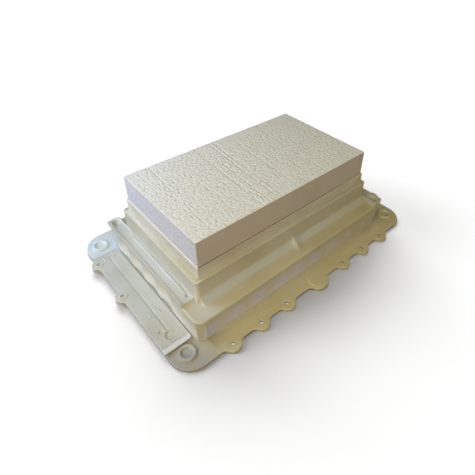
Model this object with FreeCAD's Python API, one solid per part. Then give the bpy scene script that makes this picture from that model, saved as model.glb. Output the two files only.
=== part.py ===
import FreeCAD, Part
import math
import os

# A white bead-foam brick standing in a stepped, flanged, thin-walled housing of natural plastic.
# X runs along the long side, Y along the short side, +Z is up. The origin is the middle of the
# flange's underside. The housing looks the same after half a turn about Z, so every front or left
# piece is made once, and its back or right twin is the same piece turned.

# ---- driving sizes, in millimetres ----
BRICK_LENGTH = 200.0
BRICK_WIDTH = 112.0
BRICK_HEIGHT = 82.0
BRICK_GAP = 0.2

WALL = 2.0
LINER_WALL = 1.0
LINER_TOP = 59.5
WELL_FLOOR = 2.0

STEP_WIDTH_X = 4.8
STEP_WIDTH_Y = 3.0
STEP_TOP = 48.5
STEP_WALL = 1.5
STEP_CORNER_RADIUS = 3.0
STEP_EDGE_FILLET = 0.5
COVE_RADIUS = 8.5

FLANGE_HALF_LENGTH = 143.0
FLANGE_HALF_WIDTH = 94.5
FLANGE_THICKNESS = 3.0
FLANGE_CORNER_RADIUS = 19.0
FLANGE_EDGE_FILLET = 0.8

SHOULDER_HALF_LENGTH = 118.0
SHOULDER_HALF_WIDTH = 77.5
SHOULDER_TOP = 25.5
SHOULDER_SMALL_RADIUS = 8.0
SHOULDER_LARGE_RADIUS = 14.0
SHOULDER_EDGE_FILLET = 1.4

LOBE_FIRST_X = 37.0
LOBE_PITCH = 30.2
LOBE_COUNT = 3
LOBE_RADIUS = 7.5
LOBE_BLEND = 6.0
NAIL_HOLE_Y = -93.5
NAIL_HOLE_RADIUS = 1.8
PAD_LOBE_X = 2.0
PAD_LOBE_Y = -92.0
PAD_LOBE_RADIUS = 11.5
PAD_RADIUS = 9.0
PAD_HEIGHT = 0.7

BOSS_X = 129.5
BOSS_Y = 77.5
BOSS_RADIUS = 7.6
BOSS_HEIGHT = 2.0
BOSS_SEAT_RADIUS = 4.6
BOSS_SEAT_DEPTH = 1.2
BOSS_EDGE_FILLET = 1.0

RAIL_FRONT = -55.0
RAIL_BACK = 76.0
RAIL_TOP = 29.5
RAIL_LEAF = 2.0
RIDGE_WIDTH = 1.4
RIDGE_HEIGHT = 0.9
RIDGE_GAP = 2.6
RIDGE_FRONT_SETBACK = 8.0
RIDGE_BACK_SETBACK = 36.0
STUB_START = 30.0
STUB_END = 3.0
RAIL_NIB_START = 11.0
RAIL_NIB_END = 4.0
RAIL_POCKET_START = 11.0
RAIL_POCKET_END = 3.0
RAIL_POCKET_OUTER_WALL = 4.0
RAIL_POCKET_INNER_WALL = 3.0
RAIL_POCKET_DEPTH = 2.0
RAIL_HOLE_SETBACK = 5.0
RAIL_HOLE_RADIUS = 1.2
RAIL_HOLE_DEPTH = 3.0

FLUTE_RADIUS = 20.0
FLUTE_DEPTH = 2.2
FLUTE_PITCH = 23.5
FLUTE_FIRST_Y = -28.5
FLUTE_COUNT = 4

PLATE_OUTER_X = -144.0
PLATE_INNER_X = -119.5
PLATE_FRONT = -65.0
PLATE_BACK = 60.0
PLATE_HEIGHT = 4.0
PLATE_EDGE_FILLET = 0.5
LIP_REACH = 4.2
LIP_DROP = 0.8
LIP_THICKNESS = 1.6
LIP_CORNER_RADIUS = 2.0
SLOT_X = -131.0
SLOT_HALF_LENGTH = 54.0
SLOT_WIDTH = 1.8
SLOT_DEPTH = 1.0
KEYHOLE_Y = -57.5
KEYHOLE_RADIUS = 4.8
KEYHOLE_DEPTH = 1.3
PLATE_HOLE = (-136.3, -50.5)
PLATE_HOLE_RADIUS = 2.0
PLATE_HOLE_DEPTH = 1.2
BACK_RIDGE_WIDTH = 0.9
BACK_RIDGE_HEIGHT = 0.5
LUG_POSITIONS = (2.0, 50.5)
LUG_RADIUS = 6.5
LUG_INSET = 1.5
LUG_BLEND = 4.0
LUG_RING_RADIUS = 4.0
LUG_DIMPLE_RADIUS = 1.8
LUG_DIMPLE_DEPTH = 1.2
NIB_POSITIONS = (-31.0, 54.0)
NIB_HALF_LENGTH = 3.0
NIB_HALF_WIDTH = 0.6
NIB_SPREAD = 4.4
NIB_HEIGHT = 0.8
NIB_ROOT = 0.2

RIB_COUNT = 8
RIB_PITCH = 24.4
RIB_THICKNESS = 1.6
RIB_BOTTOM = 0.5
END_RIB_PITCH = 23.5
END_RIB_COUNT = 5

GUSSET_THICKNESS = 2.0
GUSSET_REACH = 10.0
GUSSET_RISE = 12.2

# ---- sizes that follow from them ----
BRICK_BOTTOM = FLANGE_THICKNESS
WELL_X = BRICK_LENGTH / 2 + BRICK_GAP
WELL_Y = BRICK_WIDTH / 2 + BRICK_GAP
LINER_X = WELL_X + LINER_WALL
LINER_Y = WELL_Y + LINER_WALL
STEP_X = LINER_X + STEP_WIDTH_X
STEP_Y = LINER_Y + STEP_WIDTH_Y
DECK_BOTTOM = SHOULDER_TOP - WALL
PLATE_TOP = FLANGE_THICKNESS + PLATE_HEIGHT
LOBE_XS = [LOBE_FIRST_X + LOBE_PITCH * i for i in range(LOBE_COUNT)]
LOBE_XS = [-x for x in reversed(LOBE_XS)] + LOBE_XS
FLUTE_YS = [FLUTE_FIRST_Y + FLUTE_PITCH * i for i in range(FLUTE_COUNT)]
FLUTE_X = -SHOULDER_HALF_LENGTH + FLUTE_DEPTH - FLUTE_RADIUS
FLANGE_OPENING_X = SHOULDER_HALF_LENGTH - FLUTE_DEPTH - WALL
UP = FreeCAD.Vector(0, 0, 1)
FAR = 400.0


def box(x0, x1, y0, y1, z0, z1):
    """A block between the given planes."""
    return Part.makeBox(x1 - x0, y1 - y0, z1 - z0, FreeCAD.Vector(x0, y0, z0))


def disc(x, y, radius, z0, z1):
    """An upright cylinder."""
    return Part.makeCylinder(radius, z1 - z0, FreeCAD.Vector(x, y, z0))


def turned(shape):
    """The same shape after half a turn about Z."""
    twin = shape.copy()
    twin.rotate(FreeCAD.Vector(0, 0, 0), UP, 180)
    return twin


def joined(shapes):
    """One solid made of shapes that touch or overlap."""
    return shapes[0].fuse(shapes[1:]).removeSplitter()


def arc(start, middle, end):
    """A circular edge through three points."""
    return Part.Arc(start, middle, end).toShape()


def prism(edges, z0, z1):
    """The closed outline, drawn at height 0, pulled up between two heights."""
    wire = Part.Wire(Part.__sortEdges__(edges))
    face = Part.Face(wire)
    face.translate(FreeCAD.Vector(0, 0, z0))
    solid = face.extrude(FreeCAD.Vector(0, 0, z1 - z0))
    return solid if solid.Volume > 0 else solid.reversed()


def rounded_outline(half_x, half_y, small, large):
    """A rectangle whose front-left and back-right corners have the small radius."""
    edges = []
    corners = ((-1, -1, small), (1, -1, large), (1, 1, small), (-1, 1, large))
    ends = []
    for sx, sy, radius in corners:
        centre = FreeCAD.Vector(sx * (half_x - radius), sy * (half_y - radius), 0)
        on_x = centre + FreeCAD.Vector(sx * radius, 0, 0)
        on_y = centre + FreeCAD.Vector(0, sy * radius, 0)
        diagonal = radius * math.sqrt(0.5)
        middle = centre + FreeCAD.Vector(sx * diagonal, sy * diagonal, 0)
        edges.append(arc(on_x, middle, on_y))
        ends.append((on_x, on_y))
    edges.append(Part.LineSegment(ends[0][1], ends[1][1]).toShape())
    edges.append(Part.LineSegment(ends[1][0], ends[2][0]).toShape())
    edges.append(Part.LineSegment(ends[2][1], ends[3][1]).toShape())
    edges.append(Part.LineSegment(ends[3][0], ends[0][0]).toShape())
    return edges


def lobed_side(start, end, edge, lobes, blend, place):
    """A straight side with round lobes that flow into it through hollow blends.

    The side runs along u from start to end at v = edge, and v grows outwards. A lobe is
    (centre u, centre v, radius), and place turns a point (u, v) into a vector.
    """
    edges = []
    corner = start
    for centre_u, centre_v, radius in lobes:
        rise = edge + blend - centre_v
        reach = math.sqrt((radius + blend) ** 2 - rise ** 2)
        share = radius / (radius + blend)
        spread = math.radians(45) + math.atan2(rise, reach) / 2
        touch_u = reach * share
        touch_v = centre_v + rise * share
        hollow_u = reach - blend * math.cos(spread)
        hollow_v = edge + blend - blend * math.sin(spread)
        left = place(centre_u - reach, edge)
        right = place(centre_u + reach, edge)
        left_touch = place(centre_u - touch_u, touch_v)
        right_touch = place(centre_u + touch_u, touch_v)
        edges.append(Part.LineSegment(place(corner, edge), left).toShape())
        edges.append(arc(left, place(centre_u - hollow_u, hollow_v), left_touch))
        edges.append(arc(left_touch, place(centre_u, centre_v + radius), right_touch))
        edges.append(arc(right_touch, place(centre_u + hollow_u, hollow_v), right))
        corner = centre_u + reach
    edges.append(Part.LineSegment(place(corner, edge), place(end, edge)).toShape())
    return edges


def filleted_top(solid, radius, height, keep=lambda edge: True):
    """The solid with its outer edges at one height rounded."""
    def flat(edge):
        bounds = edge.BoundBox
        return abs(bounds.ZMin - height) < 1e-4 and abs(bounds.ZMax - height) < 1e-4
    chosen = [edge for edge in solid.Edges if flat(edge) and keep(edge)]
    return solid.makeFillet(radius, chosen)


def ring_sides(ring, half_x, half_y):
    """Front, back, left and right of a ring: the front and back ones hold its corners."""
    return {
        "front": ring.common(box(-FAR, FAR, -FAR, -half_y, -FAR, FAR)),
        "back": ring.common(box(-FAR, FAR, half_y, FAR, -FAR, FAR)),
        "left": ring.common(box(-FAR, -half_x, -half_y, half_y, -FAR, FAR)),
        "right": ring.common(box(half_x, FAR, -half_y, half_y, -FAR, FAR)),
    }


def shoulder_outline(inset):
    """The lower box's outline, or the same outline drawn inwards."""
    return rounded_outline(SHOULDER_HALF_LENGTH - inset, SHOULDER_HALF_WIDTH - inset,
                           SHOULDER_SMALL_RADIUS - inset, SHOULDER_LARGE_RADIUS - inset)


def flange_ring():
    """The base flange with its nail lobes, cut out under the box."""
    lobes = [(x, -NAIL_HOLE_Y, LOBE_RADIUS) for x in LOBE_XS]
    lobes.insert(LOBE_COUNT, (PAD_LOBE_X, -PAD_LOBE_Y, PAD_LOBE_RADIUS))
    straight_x = FLANGE_HALF_LENGTH - FLANGE_CORNER_RADIUS
    straight_y = FLANGE_HALF_WIDTH - FLANGE_CORNER_RADIUS
    diagonal = FLANGE_CORNER_RADIUS * math.sqrt(0.5)
    half = lobed_side(-straight_x, straight_x, FLANGE_HALF_WIDTH, lobes, LOBE_BLEND,
                      lambda u, v: FreeCAD.Vector(u, -v, 0))
    for side in (-1, 1):
        half.append(arc(FreeCAD.Vector(side * straight_x, -FLANGE_HALF_WIDTH, 0),
                        FreeCAD.Vector(side * (straight_x + diagonal), -straight_y - diagonal, 0),
                        FreeCAD.Vector(side * FLANGE_HALF_LENGTH, -straight_y, 0)))
    half.append(Part.LineSegment(FreeCAD.Vector(FLANGE_HALF_LENGTH, -straight_y, 0),
                                 FreeCAD.Vector(FLANGE_HALF_LENGTH, straight_y, 0)).toShape())
    outline = half + [turned(edge) for edge in half]
    sheet = prism(outline, 0, FLANGE_THICKNESS)
    sheet = filleted_top(sheet, FLANGE_EDGE_FILLET, FLANGE_THICKNESS)
    opening = prism(shoulder_outline(WALL), -1, FLANGE_THICKNESS + 1)
    cuts = [opening.common(box(-FLANGE_OPENING_X, FLANGE_OPENING_X, -FAR, FAR, -1, FAR))]
    for x in LOBE_XS:
        hole = disc(x, NAIL_HOLE_Y, NAIL_HOLE_RADIUS, -1, FLANGE_THICKNESS + 1)
        cuts += [hole, turned(hole)]
    return sheet.cut(cuts)


def corner_bosses():
    """Four low round bosses near the flange's corners, each with a shallow sunk seat."""
    bosses = []
    top = FLANGE_THICKNESS + BOSS_HEIGHT
    for x in (-BOSS_X, BOSS_X):
        for y in (-BOSS_Y, BOSS_Y):
            boss = disc(x, y, BOSS_RADIUS, FLANGE_THICKNESS, top)
            boss = filleted_top(boss, BOSS_EDGE_FILLET, top)
            bosses.append(boss.cut(disc(x, y, BOSS_SEAT_RADIUS, top - BOSS_SEAT_DEPTH, top + 1)))
    return Part.makeCompound(bosses)


def locating_pads():
    """The round pad on the middle lobe of each long side."""
    pad = disc(PAD_LOBE_X, PAD_LOBE_Y, PAD_RADIUS, FLANGE_THICKNESS, FLANGE_THICKNESS + PAD_HEIGHT)
    pad = filleted_top(pad, PAD_HEIGHT / 2, FLANGE_THICKNESS + PAD_HEIGHT)
    return Part.makeCompound([pad, turned(pad)])


def flutes(top):
    """The round grooves that run up the left end wall."""
    return [disc(FLUTE_X, y, FLUTE_RADIUS, FLANGE_THICKNESS, top) for y in FLUTE_YS]


def side_wall():
    """The straight front wall of the lower box."""
    left = -SHOULDER_HALF_LENGTH + SHOULDER_SMALL_RADIUS
    right = SHOULDER_HALF_LENGTH - SHOULDER_LARGE_RADIUS
    outer = -SHOULDER_HALF_WIDTH
    return box(left, right, outer, outer + WALL, FLANGE_THICKNESS, DECK_BOTTOM)


def end_wall():
    """The left end wall: a sheet that bends inwards round each groove."""
    front = -SHOULDER_HALF_WIDTH + SHOULDER_SMALL_RADIUS
    back = SHOULDER_HALF_WIDTH - SHOULDER_LARGE_RADIUS
    outer = -SHOULDER_HALF_LENGTH
    sheet = box(outer, outer + WALL, front, back, FLANGE_THICKNESS, DECK_BOTTOM)
    inside = box(outer, 0, front, back, FLANGE_THICKNESS, DECK_BOTTOM)
    backs = []
    for y in FLUTE_YS:
        back_of_groove = disc(FLUTE_X, y, FLUTE_RADIUS + WALL, FLANGE_THICKNESS, DECK_BOTTOM)
        backs.append(back_of_groove.common(inside))
    return joined([sheet] + backs).cut(flutes(DECK_BOTTOM))


def corner_walls():
    """The four rounded corners of the lower box."""
    ring = prism(shoulder_outline(0), FLANGE_THICKNESS, DECK_BOTTOM)
    ring = ring.cut(prism(shoulder_outline(WALL), FLANGE_THICKNESS, DECK_BOTTOM))
    corners = []
    for sy, radius in ((-1, SHOULDER_SMALL_RADIUS), (1, SHOULDER_LARGE_RADIUS)):
        inner_x = -SHOULDER_HALF_LENGTH + radius
        inner_y = sy * (SHOULDER_HALF_WIDTH - radius)
        low_y, high_y = sorted((inner_y, sy * FAR))
        corner = ring.common(box(-FAR, inner_x, low_y, high_y, 0, FAR))
        corners += [corner, turned(corner)]
    return Part.makeCompound(corners)


def deck_ring():
    """The shoulder deck that closes the lower box round the liner."""
    deck = prism(shoulder_outline(0), DECK_BOTTOM, SHOULDER_TOP)
    deck = filleted_top(deck, SHOULDER_EDGE_FILLET, SHOULDER_TOP)
    left_flutes = flutes(SHOULDER_TOP)
    cuts = [box(-LINER_X, LINER_X, -LINER_Y, LINER_Y, 0, FAR)]
    return deck.cut(cuts + left_flutes + [turned(flute) for flute in left_flutes])


def liner_ring():
    """The thin wall round the brick, from the flange's underside to the collar's top."""
    outer = box(-LINER_X, LINER_X, -LINER_Y, LINER_Y, 0, LINER_TOP)
    return outer.cut(box(-WELL_X, WELL_X, -WELL_Y, WELL_Y, -1, FAR))


def step_ring():
    """The second step: a thin wall and top round the liner, with hollow coves along its foot."""
    outline = rounded_outline(STEP_X, STEP_Y, STEP_CORNER_RADIUS, STEP_CORNER_RADIUS)
    body = prism(outline, SHOULDER_TOP, STEP_TOP)
    body = filleted_top(body, STEP_EDGE_FILLET, STEP_TOP)
    hollow = box(-STEP_X + STEP_WALL, STEP_X - STEP_WALL, -STEP_Y + STEP_WALL, STEP_Y - STEP_WALL,
                 SHOULDER_TOP, STEP_TOP - STEP_WALL)
    body = body.cut([hollow, box(-LINER_X, LINER_X, -LINER_Y, LINER_Y, 0, FAR)])
    return body


def cove():
    """The hollow fillet along the foot of the front step."""
    half = STEP_X - STEP_CORNER_RADIUS
    block = box(-half, half, -STEP_Y - COVE_RADIUS, -STEP_Y, SHOULDER_TOP, SHOULDER_TOP + COVE_RADIUS)
    scoop = Part.makeCylinder(COVE_RADIUS, 2 * half,
                              FreeCAD.Vector(-half, -STEP_Y - COVE_RADIUS, SHOULDER_TOP + COVE_RADIUS),
                              FreeCAD.Vector(1, 0, 0))
    return block.cut(scoop)


def shoulder_gussets():
    """One small triangular web at the middle of each long side, over the cove."""
    foot = -STEP_Y - GUSSET_REACH
    head = SHOULDER_TOP + GUSSET_RISE
    corners = [FreeCAD.Vector(-GUSSET_THICKNESS / 2, -STEP_Y, SHOULDER_TOP),
               FreeCAD.Vector(-GUSSET_THICKNESS / 2, foot, SHOULDER_TOP),
               FreeCAD.Vector(-GUSSET_THICKNESS / 2, -STEP_Y, head)]
    face = Part.Face(Part.makePolygon(corners + corners[:1]))
    web = face.extrude(FreeCAD.Vector(GUSSET_THICKNESS, 0, 0)).cut(cove())
    web = max(web.Solids, key=lambda solid: solid.Volume)
    return Part.makeCompound([web, turned(web)])


def well_floor():
    """The floor that the brick stands on."""
    top = BRICK_BOTTOM
    return box(-WELL_X, WELL_X, -WELL_Y, WELL_Y, top - WELL_FLOOR, top)


def end_rail():
    """The left end rail: a bar with a raised outer lip, a ridge and a sunk pocket."""
    outer = -SHOULDER_HALF_LENGTH
    inner = -STEP_X
    ridge_inner = inner - RIDGE_GAP
    lip_top = RAIL_TOP + RIDGE_HEIGHT
    bar = box(outer, inner, RAIL_FRONT, RAIL_BACK, SHOULDER_TOP, RAIL_TOP)
    lip = box(outer, outer + RIDGE_WIDTH, RAIL_FRONT, RAIL_BACK - SHOULDER_LARGE_RADIUS,
              RAIL_TOP, lip_top)
    ridge = box(ridge_inner - RIDGE_WIDTH, ridge_inner, RAIL_FRONT + RIDGE_FRONT_SETBACK,
                RAIL_BACK - RIDGE_BACK_SETBACK, RAIL_TOP, lip_top)
    stub = box(inner - RIDGE_WIDTH, inner, RAIL_BACK - STUB_START, RAIL_BACK - STUB_END,
               RAIL_TOP, lip_top)
    nib = box(outer, outer + 2 * RIDGE_WIDTH, RAIL_BACK - RAIL_NIB_START, RAIL_BACK - RAIL_NIB_END,
              RAIL_TOP, lip_top)
    rail = joined([bar, lip, ridge, stub, nib])
    pocket = box(outer + RAIL_POCKET_OUTER_WALL, inner - RAIL_POCKET_INNER_WALL,
                 RAIL_BACK - RAIL_POCKET_START, RAIL_BACK - RAIL_POCKET_END,
                 RAIL_TOP - RAIL_POCKET_DEPTH, FAR)
    hole = disc(ridge_inner - RIDGE_WIDTH / 2, RAIL_FRONT + RAIL_HOLE_SETBACK, RAIL_HOLE_RADIUS,
                RAIL_TOP - RAIL_HOLE_DEPTH, FAR)
    return rail.cut([pocket, hole] + flutes(RAIL_TOP - RAIL_LEAF))


def end_plate():
    """The left end plate: lugs on its outer side, a long groove that ends in a round recess, and nibs."""
    lobes = [(y, -PLATE_OUTER_X - LUG_INSET, LUG_RADIUS) for y in LUG_POSITIONS]
    edges = lobed_side(PLATE_FRONT, PLATE_BACK, -PLATE_OUTER_X, lobes, LUG_BLEND,
                       lambda u, v: FreeCAD.Vector(-v, u, 0))
    corners = [FreeCAD.Vector(PLATE_OUTER_X, PLATE_BACK, 0), FreeCAD.Vector(PLATE_INNER_X, PLATE_BACK, 0),
               FreeCAD.Vector(PLATE_INNER_X, PLATE_FRONT, 0), FreeCAD.Vector(PLATE_OUTER_X, PLATE_FRONT, 0)]
    edges += [Part.LineSegment(corners[i], corners[i + 1]).toShape() for i in range(3)]
    plate = prism(edges, FLANGE_THICKNESS, PLATE_TOP)
    plate = filleted_top(plate, PLATE_EDGE_FILLET, PLATE_TOP,
                         lambda edge: edge.BoundBox.YMax > PLATE_FRONT + 1e-4)
    raised = []
    for y in NIB_POSITIONS:
        for x in (SLOT_X - NIB_SPREAD, SLOT_X + NIB_SPREAD):
            raised.append(box(x - NIB_HALF_WIDTH, x + NIB_HALF_WIDTH, y - NIB_HALF_LENGTH,
                              y + NIB_HALF_LENGTH, PLATE_TOP - NIB_ROOT, PLATE_TOP + NIB_HEIGHT))
    lug_x = PLATE_OUTER_X + LUG_INSET
    for y in LUG_POSITIONS:
        ring = disc(lug_x, y, LUG_RING_RADIUS, PLATE_TOP - NIB_ROOT, PLATE_TOP + NIB_HEIGHT)
        raised.append(filleted_top(ring, PLATE_EDGE_FILLET, PLATE_TOP + NIB_HEIGHT))
    raised.append(box(PLATE_OUTER_X, PLATE_INNER_X, PLATE_BACK - BACK_RIDGE_WIDTH, PLATE_BACK,
                      PLATE_TOP - PLATE_EDGE_FILLET, PLATE_TOP + BACK_RIDGE_HEIGHT))
    plate = joined([plate] + raised)
    half_slot = SLOT_WIDTH / 2
    cuts = [box(SLOT_X - half_slot, SLOT_X + half_slot, -SLOT_HALF_LENGTH, SLOT_HALF_LENGTH,
                PLATE_TOP - SLOT_DEPTH, FAR),
            disc(SLOT_X, KEYHOLE_Y, KEYHOLE_RADIUS, PLATE_TOP - KEYHOLE_DEPTH, FAR),
            disc(PLATE_HOLE[0], PLATE_HOLE[1], PLATE_HOLE_RADIUS, PLATE_TOP - PLATE_HOLE_DEPTH, FAR)]
    cuts += [disc(lug_x, y, LUG_DIMPLE_RADIUS, PLATE_TOP - LUG_DIMPLE_DEPTH, FAR)
             for y in LUG_POSITIONS]
    return plate.cut(cuts)


def plate_lip():
    """The thin lip that leans out from the left end plate's front end, with one rounded corner."""
    tip = PLATE_FRONT - LIP_REACH
    tip_top = PLATE_TOP - LIP_DROP
    profile = [FreeCAD.Vector(PLATE_OUTER_X, PLATE_FRONT, PLATE_TOP - LIP_THICKNESS),
               FreeCAD.Vector(PLATE_OUTER_X, tip, tip_top - LIP_THICKNESS),
               FreeCAD.Vector(PLATE_OUTER_X, tip, tip_top),
               FreeCAD.Vector(PLATE_OUTER_X, PLATE_FRONT, PLATE_TOP)]
    face = Part.Face(Part.makePolygon(profile + profile[:1]))
    blade = face.extrude(FreeCAD.Vector(PLATE_INNER_X - PLATE_OUTER_X, 0, 0))
    corner = box(PLATE_INNER_X - LIP_CORNER_RADIUS, PLATE_INNER_X, tip, tip + LIP_CORNER_RADIUS, 0, FAR)
    round_end = disc(PLATE_INNER_X - LIP_CORNER_RADIUS, tip + LIP_CORNER_RADIUS, LIP_CORNER_RADIUS,
                     0, FAR)
    return blade.cut(corner.cut(round_end))


def side_ribs():
    """The webs between the liner and the front wall, under the deck."""
    first = -RIB_PITCH * (RIB_COUNT - 1) / 2
    half = RIB_THICKNESS / 2
    ribs = []
    for i in range(RIB_COUNT):
        x = first + RIB_PITCH * i
        ribs.append(box(x - half, x + half, -SHOULDER_HALF_WIDTH + WALL, -LINER_Y, RIB_BOTTOM, DECK_BOTTOM))
    return Part.makeCompound(ribs)


def end_ribs():
    """The webs between the liner and the left end wall, one beside each groove."""
    first = FLUTE_FIRST_Y - END_RIB_PITCH / 2
    half = RIB_THICKNESS / 2
    ribs = []
    for i in range(END_RIB_COUNT):
        y = first + END_RIB_PITCH * i
        rib = box(-SHOULDER_HALF_LENGTH + WALL, -LINER_X, y - half, y + half, RIB_BOTTOM, DECK_BOTTOM)
        ribs.append(rib.cut([end_wall(), flange_ring()]))
    return Part.makeCompound(ribs)


def foam_brick():
    """The brick, standing on the well's floor."""
    half_x = BRICK_LENGTH / 2
    half_y = BRICK_WIDTH / 2
    return box(-half_x, half_x, -half_y, half_y, BRICK_BOTTOM, BRICK_BOTTOM + BRICK_HEIGHT)


def all_nodes():
    """Every node's name and shape."""
    nodes = {"foam_brick": foam_brick(), "well_floor": well_floor()}
    flange_x = SHOULDER_HALF_LENGTH - SHOULDER_LARGE_RADIUS
    flange_y = SHOULDER_HALF_WIDTH - WALL
    rings = (("flange", flange_ring(), flange_x, flange_y), ("deck", deck_ring(), LINER_X, LINER_Y),
             ("liner", liner_ring(), WELL_X, WELL_Y), ("step", step_ring(), LINER_X, LINER_Y))
    for name, ring, half_x, half_y in rings:
        for side, shape in ring_sides(ring, half_x, half_y).items():
            nodes[f"{name}_{side}"] = shape
    nodes["step_front"] = joined([nodes["step_front"], cove()])
    nodes["step_back"] = turned(nodes["step_front"])
    pairs = (("side_wall", side_wall(), "front", "back"), ("side_ribs", side_ribs(), "front", "back"),
             ("end_wall", end_wall(), "left", "right"), ("end_ribs", end_ribs(), "left", "right"),
             ("end_rail", end_rail(), "left", "right"), ("end_plate", end_plate(), "left", "right"),
             ("plate_lip", plate_lip(), "left", "right"))
    for name, shape, first, second in pairs:
        nodes[f"{name}_{first}"] = shape
        nodes[f"{name}_{second}"] = turned(shape)
    nodes["corner_walls"] = corner_walls()
    nodes["corner_bosses"] = corner_bosses()
    nodes["locating_pads"] = locating_pads()
    nodes["shoulder_gussets"] = shoulder_gussets()
    return nodes


os.makedirs("parts", exist_ok=True)
for node_name, node_shape in all_nodes().items():
    node_shape.exportStep(f"parts/{node_name}.step")
    print(f"{node_name:18s} solids {len(node_shape.Solids):2d}  volume {node_shape.Volume:12.1f}  "
          f"valid {node_shape.isValid()}")
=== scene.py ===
import math

import bmesh
import bpy
import numpy as np
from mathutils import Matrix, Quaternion, Vector


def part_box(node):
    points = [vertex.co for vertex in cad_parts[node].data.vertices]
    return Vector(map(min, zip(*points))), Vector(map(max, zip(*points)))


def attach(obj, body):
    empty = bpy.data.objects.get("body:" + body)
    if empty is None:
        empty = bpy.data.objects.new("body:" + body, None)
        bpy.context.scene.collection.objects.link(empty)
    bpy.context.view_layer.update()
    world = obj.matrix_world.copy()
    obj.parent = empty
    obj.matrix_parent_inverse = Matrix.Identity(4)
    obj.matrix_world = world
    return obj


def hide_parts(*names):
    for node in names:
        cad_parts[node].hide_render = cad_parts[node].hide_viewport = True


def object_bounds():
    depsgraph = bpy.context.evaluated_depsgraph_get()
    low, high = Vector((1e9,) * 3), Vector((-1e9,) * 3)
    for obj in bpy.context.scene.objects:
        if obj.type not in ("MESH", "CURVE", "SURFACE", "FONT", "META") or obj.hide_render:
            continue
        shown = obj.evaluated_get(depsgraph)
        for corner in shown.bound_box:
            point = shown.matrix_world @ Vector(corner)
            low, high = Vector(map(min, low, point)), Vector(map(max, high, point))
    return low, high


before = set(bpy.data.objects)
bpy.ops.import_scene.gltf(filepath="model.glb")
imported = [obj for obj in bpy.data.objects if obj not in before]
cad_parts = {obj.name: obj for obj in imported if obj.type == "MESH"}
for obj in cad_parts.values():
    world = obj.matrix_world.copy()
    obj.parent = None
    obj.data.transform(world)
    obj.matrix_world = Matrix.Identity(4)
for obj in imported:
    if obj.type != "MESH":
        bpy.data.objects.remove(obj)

# The looks of a white bead-foam brick in a stepped, flanged housing of natural plastic.
# Every length is in metres, in the frame's own axes: X along the long side, Z up.

cad_low, cad_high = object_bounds()
MM = 0.001

# ---- camera ----
CAMERA_LOCATION = (-0.2085, -0.2463, 0.2911)
CAMERA_AZIMUTH = -42.76
CAMERA_ELEVATION = 36.52
CAMERA_ROLL = 1.52
CAMERA_LENS = 30.908
CAMERA_SHIFT = (-0.0579, -0.0958)

# ---- foam brick ----
BEAD_PITCH = 2.3 * MM
BEAD_JITTER = 0.38
BEAD_CURVE = 2.2 * MM
BEAD_STAND = 0.06 * MM
GRID_STEP = 0.65 * MM
SIDE_ROWS = 40
ROW_GRADING = 1.7
TOP_RELIEF = 0.52
END_RELIEF = 0.34
END_STRETCH = 1.2
LONG_SIDE_RELIEF = 0.10
EDGE_WEAR = 0.35 * MM
CHIP_DEPTH = 1.3 * MM
CHIP_SHARE = 0.035
SAW_DEPTH = 0.50 * MM
SAW_SLANT = 0.06
SAW_WIDTH = 1.3 * GRID_STEP
SAW_LINES = (-79.0 * MM, -29.0 * MM, -20.5 * MM, -12.0 * MM, -7.5 * MM, 12.5 * MM, 49.0 * MM)
FOAM_SEED = 11
BEAD_LOOKS = ((0.84, 0.82, 0.74, 1), (0.92, 0.91, 0.85, 1))
# Painted shade in the hollows between beads, in saw cuts and on chips.
HOLLOW_SHADE = (0.52, 0.46, 0.33, 1)
# The cut ends: real streaks, in a darker lilac that is painted shade with a bluish cast.
CUT_STREAK_SHADE_LOOKS = ((0.64, 0.63, 0.66, 1), (0.74, 0.74, 0.765, 1))
# Painted shade in the pits and the hollows of the cut ends.
PIT_SHADE = (0.42, 0.39, 0.40, 1)
CUT_HOLLOW_SHADE = (0.45, 0.43, 0.46, 1)
# The long sides, painted brownish as shade.
LONG_SIDE_SHADE_LOOKS = ((0.60, 0.55, 0.49, 1), (0.68, 0.62, 0.55, 1))

# ---- housing ----
SEPARATE_PIECES = ("foam_brick", "end_plate", "plate_lip")
WELD_DISTANCE = 0.001 * MM
SHARP_ANGLE = 32.0
WELL_HALF = (100.2 * MM, 56.2 * MM)
SNUG = 0.17 * MM
RIB_PITCH = 24.4 * MM
WALL_OUT = 77.2 * MM
# Painted light: band and colour of bluish patches between the ribs of the long walls.
WALL_STRETCH = (7.5 * MM, 16.0 * MM, 4.5 * MM)
WALL_PAINTED_LIGHT = (0.64, 0.65, 0.78, 1)
# Painted light: a bluish band in the cove at the foot of the step.
COVE_ACROSS = (61.4 * MM, 64.0 * MM, 3.0 * MM)
COVE_UP = (26.5 * MM, 31.0 * MM, 1.0 * MM)
COVE_PAINTED_LIGHT = (0.62, 0.69, 0.72, 1)
# Painted shade: darker and more yellow towards +X.
RIGHT_SHADE_LOOK = (0.53, 0.49, 0.28, 1)
# Painted shade: the flange more olive.
FLANGE_TOP = 3.8 * MM
FLANGE_SHADE_LOOK = (0.60, 0.56, 0.36, 1)
EDGE_ROUNDING = 0.5 * MM
CREASE_REACH = 6.0 * MM
GLOW_DEPTH = 2.0 * MM
RIM = 59.5 * MM
# Painted light on the collar's rim, where the brick shades it.
RIM_PAINTED_LIGHT = (0.84, 0.79, 0.67, 1)
# Painted light and shade near the left corners, each with centre, reach and colour: bluish white at the
# back is painted light, grey at the front is painted shade.
CORNER_LIGHT_AND_SHADE = (((-140.0 * MM, 80.0 * MM, 3.0 * MM), 58.0 * MM, (0.68, 0.74, 0.77, 1)),
                ((-140.0 * MM, -88.0 * MM, 3.0 * MM), 48.0 * MM, (0.40, 0.39, 0.375, 1)))

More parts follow.
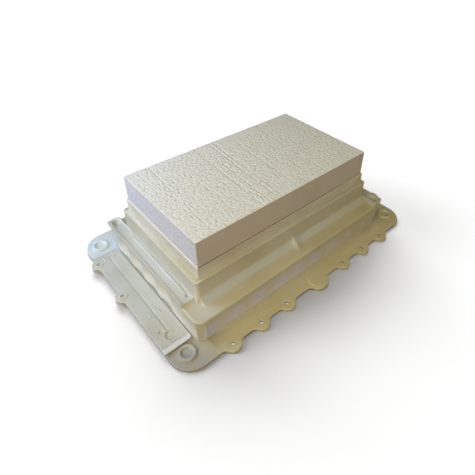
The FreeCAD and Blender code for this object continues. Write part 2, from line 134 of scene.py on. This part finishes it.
# Each plastic's clouds run from the first colour to the second. Its flow streaks lean a little to the
# third, and its creases and edges take the third as painted light.
NATURAL_LOOKS = ((0.63, 0.61, 0.50, 1), (0.56, 0.52, 0.36, 1), (0.71, 0.73, 0.70, 1))
WHITER_LOOKS = ((0.60, 0.61, 0.57, 1), (0.53, 0.53, 0.46, 1), (0.71, 0.74, 0.74, 1))
# The lips' bluish white is painted light on their thin fronts.
LIP_PAINTED_LIGHT_LOOKS = ((0.74, 0.76, 0.80, 1), (0.68, 0.70, 0.74, 1), (0.84, 0.86, 0.92, 1))

# ---- floor and light ----
FLOOR_SIZE = 6.0
FLOOR_DROP = 0.3 * MM
GLOW_HALF = (110.0 * MM, 94.0 * MM)
GLOW_EDGE = 0.3 * MM
FLOOR_GLOW = 0.22
HOLE_GLOW = 0.55
BACKDROP_RADIUS = 2.9
LIT_POINT = (0.0, 0.0, 0.04)
# Round lamps for the object: name, place, size, power in watts, colour.
OBJECT_LAMPS = (("top", (-0.15, 0.10, 1.10), 0.80, 2.13, (1.0, 0.94, 0.56)),
                ("fill", (-0.50, -0.90, 0.60), 0.70, 5.52, (1.0, 0.853, 0.617)),
                ("window", (-0.45, 0.40, 0.40), 0.30, 0.74, (0.40, 0.667, 1.0)),
                ("warm_left", (-0.55, -0.15, 0.35), 0.40, 1.07, (1.0, 0.80, 0.48)),
                ("near_left", (-0.28, 0.20, 0.25), 0.30, 0.95, (0.52, 0.67, 1.0)),
                ("right", (0.85, 0.10, 0.15), 0.50, 0.8, (1.0, 0.96, 0.90)))
# Soft suns for the floor, which make the object's shadow: name, direction, strength.
FLOOR_SUNS = (("sky_right", (0.56, 0.56, 0.66), 1.20),
              ("sky_high", (0.22, 0.60, 0.81), 0.92),
              ("sky_low", (0.15, 0.86, 0.51), 1.18),
              ("sky_left", (-0.61, 0.61, 0.54), 1.60))
SUN_ANGLE = 30
WORLD_COLOUR = (1.0, 0.95, 0.85, 1)
WORLD_STRENGTH = 0.02


def place_camera():
    """The camera: azimuth 0 looks along +Y, and the roll turns it about its own line of sight."""
    azimuth, elevation = math.radians(CAMERA_AZIMUTH), math.radians(CAMERA_ELEVATION)
    ahead = Vector((-math.sin(azimuth) * math.cos(elevation),
                    math.cos(azimuth) * math.cos(elevation),
                    -math.sin(elevation)))
    data = bpy.data.cameras.new("camera")
    data.lens = CAMERA_LENS
    data.sensor_width = 36.0
    data.shift_x, data.shift_y = CAMERA_SHIFT
    data.clip_start = 0.01
    camera = bpy.data.objects.new("camera", data)
    camera.location = CAMERA_LOCATION
    camera.rotation_mode = "QUATERNION"
    camera.rotation_quaternion = (Quaternion(ahead, math.radians(-CAMERA_ROLL))
                                  @ ahead.to_track_quat("-Z", "Y"))
    bpy.context.scene.collection.objects.link(camera)
    bpy.context.scene.camera = camera


# ---- node helpers ----

class Graph:
    """A short way to write a material's nodes."""

    def __init__(self, name):
        self.material = bpy.data.materials.new(name)
        self.material.use_nodes = True
        self.tree = self.material.node_tree
        self.shader = self.tree.nodes["Principled BSDF"]
        self.output = self.tree.nodes["Material Output"]

    def node(self, kind, settings=None, **inputs):
        """A node of that kind. Inputs are numbers, colours or other nodes' sockets."""
        made = self.tree.nodes.new("ShaderNode" + kind)
        for key, value in (settings or {}).items():
            setattr(made, key, value)
        for key, value in inputs.items():
            self.put(made.inputs[key.replace("_", " ")], value)
        return made

    def put(self, socket, value):
        """Links a socket to the value, or sets it."""
        if isinstance(value, bpy.types.NodeSocket):
            self.tree.links.new(value, socket)
        else:
            socket.default_value = value

    def math(self, operation, first, second=0.0):
        made = self.node("Math", {"operation": operation})
        self.put(made.inputs[0], first)
        self.put(made.inputs[1], second)
        return made.outputs[0]

    def mix(self, share, first, second):
        """The first colour, or the second as the share rises to 1."""
        made = self.node("Mix", {"data_type": "RGBA"})
        self.put(made.inputs["Factor"], share)
        self.put(made.inputs[6], first)
        self.put(made.inputs[7], second)
        return made.outputs[2]

    def ramp(self, value, low, high, to_low=0.0, to_high=1.0):
        """The value's stretch from low to high, mapped smoothly to another stretch."""
        made = self.node("MapRange", {"interpolation_type": "SMOOTHSTEP"}, Value=value)
        for name, number in (("From Min", low), ("From Max", high),
                             ("To Min", to_low), ("To Max", to_high)):
            made.inputs[name].default_value = number
        return made.outputs[0]

    def band(self, value, low, high, soft):
        """1 from low to high, falling smoothly to 0 over the soft width on both sides."""
        return self.math("MULTIPLY", self.ramp(value, low - soft, low),
                         self.ramp(value, high, high + soft, 1.0, 0.0))

    def noise(self, place, scale, detail=3.0):
        return self.node("TexNoise", None, Vector=place, Scale=scale, Detail=detail).outputs["Fac"]

    def stretched(self, place, factors):
        return self.node("Mapping", None, Vector=place, Scale=factors).outputs[0]


def painted_light_and_shade(g, place, body):
    """Painted light and shade that belong to places: light showing through between the ribs, light in the
    cove, shade to the right and on the flange, and light and shade near the left corners."""
    axes = g.node("SeparateXYZ", None, Vector=place).outputs
    out = g.math("ABSOLUTE", axes["Y"])
    # Painted light: bluish patches between the ribs, as light showing through, fading to the right and
    # back.
    sway = g.math("MULTIPLY", g.noise(place, 30.0, 2.0), 0.7)
    turns = g.math("FRACT", g.math("ADD", g.math("DIVIDE", axes["X"], RIB_PITCH), sway))
    between = g.ramp(g.math("ABSOLUTE", g.math("SUBTRACT", turns, 0.5)), 0.0, 0.42, 0.25, 1.0)
    on_wall = g.math("MULTIPLY", g.band(out, WALL_OUT, 1.0, 0.1 * MM), g.band(axes["Z"], *WALL_STRETCH))
    to_right = g.ramp(axes["X"], -20.0 * MM, 100.0 * MM, 1.0, 0.4)
    to_back = g.ramp(axes["Y"], -50.0 * MM, 50.0 * MM, 1.0, 0.35)
    shine_through = g.math("MULTIPLY", g.math("MULTIPLY", on_wall, between), g.math("MULTIPLY", to_right, to_back))
    body = g.mix(shine_through, body, WALL_PAINTED_LIGHT)
    # Painted light in the cove.
    in_cove = g.math("MULTIPLY", g.band(out, *COVE_ACROSS), g.band(axes["Z"], *COVE_UP))
    body = g.mix(g.math("MULTIPLY", in_cove, 0.75), body, COVE_PAINTED_LIGHT)
    # Painted shade towards +X.
    to_right_shade = g.ramp(axes["X"], 0.0, 110.0 * MM, 0.0, 0.35)
    body = g.mix(to_right_shade, body, RIGHT_SHADE_LOOK)
    # Painted shade on the flange.
    on_flange = g.math("LESS_THAN", axes["Z"], FLANGE_TOP)
    body = g.mix(g.math("MULTIPLY", on_flange, 0.55), body, FLANGE_SHADE_LOOK)
    # Painted light and shade near the left corners.
    for centre, reach, tone in CORNER_LIGHT_AND_SHADE:
        away = g.node("VectorMath", {"operation": "DISTANCE"})
        g.put(away.inputs[0], place)
        g.put(away.inputs[1], centre)
        near = g.ramp(away.outputs["Value"], 0.2 * reach, reach, 0.9, 0.0)
        body = g.mix(near, body, tone)
    return body


def plastic(name, pale, deep, flow_and_painted_light, with_painted_light=False):
    """Milky natural plastic: clouded colour, soft grain, rounded edges with a faint painted highlight, and
    painted light in the creases. The top of the collar's rim is solid and flat and painted light, so that
    no dark line of shade shows round the brick."""
    g = Graph(name)
    place = g.node("TexCoord").outputs["Object"]
    cloud = g.ramp(g.noise(place, 14.0, 2.0), 0.35, 0.65)
    flow = g.ramp(g.noise(g.stretched(place, (40.0, 40.0, 9.0)), 1.0, 4.0), 0.3, 0.7)
    grain = g.noise(place, 900.0, 2.0)
    body = g.mix(cloud, pale, deep)
    body = g.mix(g.math("MULTIPLY", flow, 0.22), body, flow_and_painted_light)
    rounded = g.node("Bevel", {"samples": 4}, Radius=EDGE_ROUNDING).outputs[0]
    flat = g.node("NewGeometry").outputs["Normal"]
    turn = g.node("VectorMath", {"operation": "DOT_PRODUCT"})
    g.put(turn.inputs[0], rounded)
    g.put(turn.inputs[1], flat)
    edge_highlight = g.ramp(turn.outputs["Value"], 0.80, 1.0, 1.0, 0.0)
    # A faint painted highlight along the edges.
    body = g.mix(g.math("MULTIPLY", edge_highlight, 0.05), body, flow_and_painted_light)
    # Painted light in the creases, standing in for light scattered in the plastic.
    corner = g.node("AmbientOcclusion", {"samples": 6}, Distance=CREASE_REACH)
    crease_light = g.ramp(corner.outputs["AO"], 0.25, 0.9, 1.0, 0.0)
    body = g.mix(g.math("MULTIPLY", crease_light, 0.6), body, flow_and_painted_light)
    # Painted light and shade by place, on the natural plastic only.
    if with_painted_light:
        body = painted_light_and_shade(g, place, body)
    height = g.node("SeparateXYZ", None, Vector=place).outputs["Z"]
    # The rim's top is painted light, where the brick shades it.
    rim = g.ramp(height, RIM - 0.3 * MM, RIM - 0.05 * MM)
    body = g.mix(rim, body, RIM_PAINTED_LIGHT)
    rounded = g.mix(rim, rounded, flat)
    bump = g.node("Bump", None, Strength=0.12, Distance=0.2 * MM, Height=grain, Normal=rounded)
    g.put(g.shader.inputs["Base Color"], body)
    g.put(g.shader.inputs["Roughness"], g.ramp(g.noise(place, 120.0), 0.2, 0.8, 0.34, 0.5))
    g.put(g.shader.inputs["Normal"], bump.outputs[0])
    g.shader.inputs["IOR"].default_value = 1.5
    g.put(g.shader.inputs["Subsurface Weight"], g.math("SUBTRACT", 1.0, rim))
    g.shader.inputs["Subsurface Radius"].default_value = (1.0, 0.9, 0.7)
    g.shader.inputs["Subsurface Scale"].default_value = GLOW_DEPTH
    return g.material


def bead_foam():
    """White bead foam: each bead its own tone, painted warm shade in the hollows between them, streaked
    cuts on the ends in a darker lilac that is painted shade, with painted shade in their pits, and long
    sides painted brownish as shade."""
    g = Graph("bead_foam_look")
    place = g.node("TexCoord").outputs["Object"]
    tone = g.node("Attribute", {"attribute_name": "bead_tone"}).outputs["Fac"]
    hollow_shade = g.node("Attribute", {"attribute_name": "bead_hollow"}).outputs["Fac"]
    end = g.node("Attribute", {"attribute_name": "cut_end"}).outputs["Fac"]
    shaded_side = g.node("Attribute", {"attribute_name": "shaded_long_side"}).outputs["Fac"]
    body = g.mix(tone, *BEAD_LOOKS)
    # Painted shade in the hollows between beads, in saw cuts and on chips.
    body = g.mix(g.math("MULTIPLY", hollow_shade, 0.50), body, HOLLOW_SHADE)
    streak = g.ramp(g.noise(g.stretched(place, (700.0, 700.0, 260.0)), 1.0, 3.0), 0.32, 0.66)
    # Cut ends: streaks in a darker lilac, which is painted shade.
    lilac = g.mix(streak, *CUT_STREAK_SHADE_LOOKS)
    # Painted shade in small pits and in the hollows of the cut ends.
    pit_shade = g.ramp(g.noise(place, 900.0, 1.0), 0.26, 0.40, 0.6, 0.0)
    lilac = g.mix(pit_shade, lilac, PIT_SHADE)
    lilac = g.mix(g.math("MULTIPLY", hollow_shade, 0.8), lilac, CUT_HOLLOW_SHADE)
    body = g.mix(end, body, lilac)
    # The long sides are painted brownish, as shade.
    smooth = g.mix(g.noise(place, 60.0), *LONG_SIDE_SHADE_LOOKS)
    body = g.mix(shaded_side, body, smooth)
    fine = g.noise(place, 1500.0, 2.0)
    bump = g.node("Bump", None, Strength=0.35, Distance=0.25 * MM, Height=fine)
    g.put(g.shader.inputs["Base Color"], body)
    g.put(g.shader.inputs["Roughness"], g.ramp(tone, 0.0, 1.0, 0.75, 0.5))
    g.put(g.shader.inputs["Normal"], bump.outputs[0])
    g.shader.inputs["IOR"].default_value = 1.3
    g.shader.inputs["Subsurface Weight"].default_value = 0.15
    g.shader.inputs["Subsurface Radius"].default_value = (1.0, 0.95, 0.85)
    g.shader.inputs["Subsurface Scale"].default_value = 1.0 * MM
    return g.material


# ---- foam brick ----

def bead_field(u, v, seed, stretch=1.0):
    """Height below the bead tops at (u, v), a tone for each bead and how deep in a hollow it is."""
    cols, rows = int(u.max() / BEAD_PITCH) + 4, int(v.max() / (BEAD_PITCH * stretch)) + 4
    draw = np.random.default_rng(seed)
    shift = (draw.random((cols, rows, 2)) - 0.5) * 2 * BEAD_JITTER
    stand = draw.random((cols, rows)) * BEAD_STAND
    tones = draw.random((cols, rows))
    i, j = np.floor(u / BEAD_PITCH).astype(int), np.floor(v / (BEAD_PITCH * stretch)).astype(int)
    best = np.full(u.shape, -1.0)
    tone = np.zeros(u.shape)
    for di in (-1, 0, 1):
        for dj in (-1, 0, 1):
            a, b = np.clip(i + di + 1, 0, cols - 1), np.clip(j + dj + 1, 0, rows - 1)
            x = (i + di + 0.5 + shift[a, b, 0]) * BEAD_PITCH
            y = (j + dj + 0.5 + shift[a, b, 1]) * BEAD_PITCH * stretch
            away = (u - x) ** 2 + ((v - y) / stretch) ** 2
            height = np.sqrt(np.maximum(BEAD_CURVE ** 2 - away, 0)) + stand[a, b]
            nearer = height > best
            best = np.where(nearer, height, best)
            tone = np.where(nearer, tones[a, b], tone)
    drop = BEAD_CURVE + BEAD_STAND - best
    return drop, tone


def wander(t, seed, step):
    """A smooth random line over t, from -1 to 1, that changes over each step."""
    draw = np.random.default_rng(seed)
    knots = draw.random(int(t.max() / step) + 3) * 2 - 1
    i = np.floor(t / step).astype(int)
    f = t / step - i
    f = f * f * (3 - 2 * f)
    return knots[i] * (1 - f) + knots[i + 1] * f


def brick_shell(low, high):
    """The brick's box as a grid: a fine top, sides in rows that widen downwards, one flat base."""
    size = high - low
    nx, ny = round(size.x / GRID_STEP), round(size.y / GRID_STEP)
    xs, ys = np.linspace(low.x, high.x, nx + 1), np.linspace(low.y, high.y, ny + 1)
    top = np.stack(np.meshgrid(xs, ys, indexing="ij"), axis=-1).reshape(-1, 2)
    index = np.arange((nx + 1) * (ny + 1)).reshape(nx + 1, ny + 1)
    quads = np.stack([index[:-1, :-1], index[1:, :-1], index[1:, 1:], index[:-1, 1:]],
                     axis=-1).reshape(-1, 4)
    ring = np.concatenate([index[:-1, 0], index[-1, :-1], index[:0:-1, -1], index[0, :0:-1]])
    depth = size.z * (np.arange(SIDE_ROWS + 1) / SIDE_ROWS) ** ROW_GRADING
    points = [np.column_stack([top, np.full(len(top), high.z)])]
    rings, count = [ring], len(top)
    for d in depth[1:]:
        rings.append(np.arange(len(ring)) + count)
        count += len(ring)
        points.append(np.column_stack([top[ring], np.full(len(ring), high.z - d)]))
    faces = quads.tolist()
    for upper, lower in zip(rings, rings[1:]):
        around = np.stack([upper, lower, np.roll(lower, -1), np.roll(upper, -1)], axis=-1)
        faces += around.tolist()
    faces.append(rings[-1][::-1].tolist())
    return np.concatenate(points), faces


def wear_brick(points, low, high):
    """Moves the shell's points in by beads, saw lines and worn edges, and returns their tones with masks
    for the ends and for painted shade in the hollows and on the long sides.
    """
    x, y, z = (points[:, k].copy() for k in range(3))
    near = GRID_STEP / 10
    on_top = z > high.z - near
    ends = (x < low.x + near) | (x > high.x - near)
    sides = (y < low.y + near) | (y > high.y - near)
    tone, hollow_shade = np.zeros(len(points)), np.zeros(len(points))

    def relief(mask, u, v, strength, seed, stretch):
        drop, bead = bead_field(u[mask], v[mask], seed, stretch)
        tone[mask] = bead
        # This mask says where shade is painted: deepest between the beads.
        hollow_shade[mask] = np.maximum(hollow_shade[mask], np.clip((drop / MM - 0.35) / 0.6, 0, 1))
        return drop * strength

    down = np.zeros(len(points))
    along_x, along_y = np.zeros(len(points)), np.zeros(len(points))
    along_x[ends] = relief(ends, y - low.y, high.z - z, END_RELIEF, FOAM_SEED + 1, END_STRETCH)
    along_y[sides] = relief(sides, x - low.x, high.z - z, LONG_SIDE_RELIEF, FOAM_SEED + 2, 1.0)
    hollow_shade[~on_top] *= 0.5
    down[on_top] = relief(on_top, x - low.x, y - low.y, TOP_RELIEF, FOAM_SEED, 1.0)
    for k, line in enumerate(SAW_LINES):
        off = np.abs(x - line - SAW_SLANT * y)
        patchy = 0.55 + 0.45 * wander(y - low.y, FOAM_SEED + 20 + k, 9 * MM)
        cut = np.clip(1 - off / SAW_WIDTH, 0, 1) * patchy
        down += np.where(on_top, cut * SAW_DEPTH, 0)
        # Saw cuts take painted shade too.
        hollow_shade[on_top] = np.maximum(hollow_shade, cut * 0.8)[on_top]
    rim = on_top & (ends | sides)
    around = np.where(sides, x - low.x, y - low.y) + np.where((x > 0) ^ (y > 0), 0.2, 0.0)
    worn = EDGE_WEAR * (1.0 + 0.8 * wander(around, FOAM_SEED + 5, 2.2 * MM))
    chips = wander(around, FOAM_SEED + 6, 3.1 * MM) > 1 - 2 * CHIP_SHARE
    worn = np.where(chips, CHIP_DEPTH, worn)
    middle_x, middle_y = np.sign(x), np.sign(y)
    along_x[rim & ends] += worn[rim & ends]
    along_y[rim & sides] += worn[rim & sides]
    down[rim] += worn[rim]
    # Chips take a little painted shade.
    hollow_shade[rim & chips] = 0.3
    moved = points.copy()
    moved[:, 0] = x - middle_x * along_x
    moved[:, 1] = y - middle_y * along_y
    moved[:, 2] = z - down
    end_share = (ends & ~on_top).astype(float)
    # The long sides' mask, for painted shade.
    shaded_side_share = (sides & ~on_top & ~ends).astype(float)
    return moved, {"bead_tone": tone, "bead_hollow": hollow_shade,
                   "cut_end": end_share, "shaded_long_side": shaded_side_share}


def foam_brick():
    low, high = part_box("foam_brick")
    points, faces = brick_shell(low, high)
    points, tones = wear_brick(points, low, high)
    mesh = bpy.data.meshes.new("foam_block")
    mesh.from_pydata(points.tolist(), [], faces)
    for name, values in tones.items():
        layer = mesh.attributes.new(name, "FLOAT", "POINT")
        layer.data.foreach_set("value", values.astype(np.float32))
    mesh.polygons.foreach_set("use_smooth", [True] * len(mesh.polygons))
    mesh.polygons[len(mesh.polygons) - 1].use_smooth = False
    mesh.materials.append(bead_foam())
    mesh.update()
    brick = bpy.data.objects.new("foam_block", mesh)
    bpy.context.scene.collection.objects.link(brick)
    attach(brick, "brick")
    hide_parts("foam_brick")


# ---- housing ----

def welded_copy(name):
    """A closed copy of a CAD node's mesh, in an object of its own."""
    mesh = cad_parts[name].data.copy()
    shape = bmesh.new()
    shape.from_mesh(mesh)
    bmesh.ops.remove_doubles(shape, verts=shape.verts, dist=WELD_DISTANCE)
    shape.to_mesh(mesh)
    shape.free()
    copy = bpy.data.objects.new(name + "_copy", mesh)
    bpy.context.scene.collection.objects.link(copy)
    return copy


def close_gap(mesh):
    """Moves the well's walls in until they nearly touch the brick."""
    points = np.empty(len(mesh.vertices) * 3, np.float32)
    mesh.vertices.foreach_get("co", points)
    points = points.reshape(-1, 3)
    for axis, half in enumerate(WELL_HALF):
        on_wall = np.abs(np.abs(points[:, axis]) - half) < WELD_DISTANCE * 5
        points[on_wall, axis] -= np.sign(points[on_wall, axis]) * SNUG
    mesh.vertices.foreach_set("co", points.ravel())


def housing_moulding(natural, rail):
    """The nodes that are moulded in one, as one seamless skin: natural plastic, paler on the rails."""
    names = sorted(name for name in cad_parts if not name.startswith(SEPARATE_PIECES))
    copies = [welded_copy(name) for name in names]
    for copy in copies:
        copy.data.materials.clear()
        copy.data.materials.append(rail if copy.name.startswith("end_rail") else natural)
    base = copies[0]
    for other in copies[1:]:
        weld = base.modifiers.new(other.name, "BOOLEAN")
        weld.operation = "UNION"
        weld.solver = "MANIFOLD"
        weld.material_mode = "TRANSFER"
        weld.object = other
    mesh = bpy.data.meshes.new_from_object(base.evaluated_get(bpy.context.evaluated_depsgraph_get()))
    for copy in copies:
        bpy.data.objects.remove(copy)
    mesh.name = "housing_moulding"
    close_gap(mesh)
    mesh.polygons.foreach_set("use_smooth", [True] * len(mesh.polygons))
    mesh.set_sharp_from_angle(angle=math.radians(SHARP_ANGLE))
    moulding = bpy.data.objects.new("housing_moulding", mesh)
    bpy.context.scene.collection.objects.link(moulding)
    even = moulding.modifiers.new("even_shading", "WEIGHTED_NORMAL")
    even.keep_sharp = True
    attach(moulding, "housing")
    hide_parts(*names)


def housing():
    """The moulding, the end plates in whiter looks, and their lips, whose bluish white is painted light.
    """
    natural = plastic("natural_plastic_look", *NATURAL_LOOKS, with_painted_light=True)
    rail = plastic("rail_plastic_look", *WHITER_LOOKS)
    plate = plastic("plate_plastic_look", *WHITER_LOOKS)
    # The lips' bluish white is painted light.
    lip = plastic("lip_painted_light_look", *LIP_PAINTED_LIGHT_LOOKS)
    for name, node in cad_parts.items():
        if name.startswith(("end_plate", "plate_lip")):
            for slot in node.material_slots:
                slot.material = lip if name.startswith("plate_lip") else plate
    housing_moulding(natural, rail)


# ---- floor and light ----

def floor():
    """A plain pale floor. Under the milky flange it glows a little, which shows through the nail holes."""
    g = Graph("floor_look")
    place = g.node("TexCoord").outputs["Object"]
    shade = g.mix(g.noise(place, 3.0, 2.0), (0.90, 0.90, 0.90, 1), (0.92, 0.92, 0.92, 1))
    g.put(g.shader.inputs["Base Color"], shade)
    g.shader.inputs["Roughness"].default_value = 0.9
    g.shader.inputs["Specular IOR Level"].default_value = 0.1
    axes = g.node("SeparateXYZ", None, Vector=place).outputs
    under = g.math("MULTIPLY", g.band(axes["X"], -GLOW_HALF[0], GLOW_HALF[0], GLOW_EDGE),
                   g.band(axes["Y"], -GLOW_HALF[1], GLOW_HALF[1], GLOW_EDGE))
    g.shader.inputs["Emission Color"].default_value = (1.0, 1.0, 1.0, 1)
    g.put(g.shader.inputs["Emission Strength"], g.ramp(under, 0.0, 1.0, FLOOR_GLOW, HOLE_GLOW))
    g.material.cycles.emission_sampling = "NONE"
    half = FLOOR_SIZE / 2
    mesh = bpy.data.meshes.new("floor")
    height = cad_low.z - FLOOR_DROP
    mesh.from_pydata([(-half, -half, height), (half, -half, height), (half, half, height),
                      (-half, half, height)], [], [(0, 1, 2, 3)])
    mesh.materials.append(g.material)
    plane = bpy.data.objects.new("floor", mesh)
    plane.visible_diffuse = False
    bpy.context.scene.collection.objects.link(plane)


def backdrop():
    """A pale dome round the floor. Only the camera sees it: it gives no light and no shadow."""
    g = Graph("backdrop_look")
    height = g.node("SeparateXYZ", None, Vector=g.node("TexCoord").outputs["Object"]).outputs["Z"]
    shade = g.mix(g.ramp(height, 0.2, BACKDROP_RADIUS), (1.0, 1.0, 1.0, 1), (0.84, 0.86, 0.88, 1))
    g.shader.inputs["Base Color"].default_value = (0.0, 0.0, 0.0, 1)
    g.put(g.shader.inputs["Emission Color"], shade)
    g.shader.inputs["Emission Strength"].default_value = 1.0
    g.material.cycles.emission_sampling = "NONE"
    mesh = bpy.data.meshes.new("backdrop")
    shape = bmesh.new()
    bmesh.ops.create_uvsphere(shape, u_segments=64, v_segments=32, radius=BACKDROP_RADIUS)
    shape.to_mesh(mesh)
    shape.free()
    mesh.materials.append(g.material)
    dome = bpy.data.objects.new("backdrop", mesh)
    dome.visible_diffuse = False
    dome.visible_glossy = False
    dome.visible_transmission = False
    dome.visible_shadow = False
    bpy.context.scene.collection.objects.link(dome)


def share_light(made, floor_only):
    """Lets the lamp light either the floor alone or all but the floor."""
    share = bpy.data.collections.new(made.name + "_share")
    share.objects.link(bpy.data.objects["floor"])
    if not floor_only:
        share.collection_objects[0].light_linking.link_state = "EXCLUDE"
    made.light_linking.receiver_collection = share


def lamp(name, data, place, colour, floor_only):
    """A lamp at that place, turned towards the object's middle."""
    data.color = colour
    made = bpy.data.objects.new(name, data)
    made.location = place
    made.rotation_mode = "QUATERNION"
    made.rotation_quaternion = (Vector(LIT_POINT) - Vector(place)).to_track_quat("-Z", "Y")
    bpy.context.scene.collection.objects.link(made)
    share_light(made, floor_only)


def soft_lamp(name, place, size, power, colour):
    """A round lamp for the object."""
    data = bpy.data.lights.new(name, "AREA")
    data.shape = "DISK"
    data.size = size
    data.energy = power
    lamp(name, data, place, colour, floor_only=False)


def sky_lamp(name, place, strength):
    """A wide soft sun for the floor, where it makes the object's shadow."""
    data = bpy.data.lights.new(name, "SUN")
    data.angle = math.radians(SUN_ANGLE)
    data.energy = strength
    lamp(name, data, place, (1.0, 1.0, 1.0), floor_only=True)


def studio():
    """Lamps for the object, suns for the floor, and a faint even light."""
    for settings in OBJECT_LAMPS:
        soft_lamp(*settings)
    for settings in FLOOR_SUNS:
        sky_lamp(*settings)
    world = bpy.data.worlds.new("world")
    world.use_nodes = True
    background = world.node_tree.nodes["Background"]
    background.inputs["Color"].default_value = WORLD_COLOUR
    background.inputs["Strength"].default_value = WORLD_STRENGTH
    bpy.context.scene.world = world
    bpy.context.scene.view_settings.view_transform = "Standard"


place_camera()
floor()
backdrop()
studio()
housing()
foam_brick()
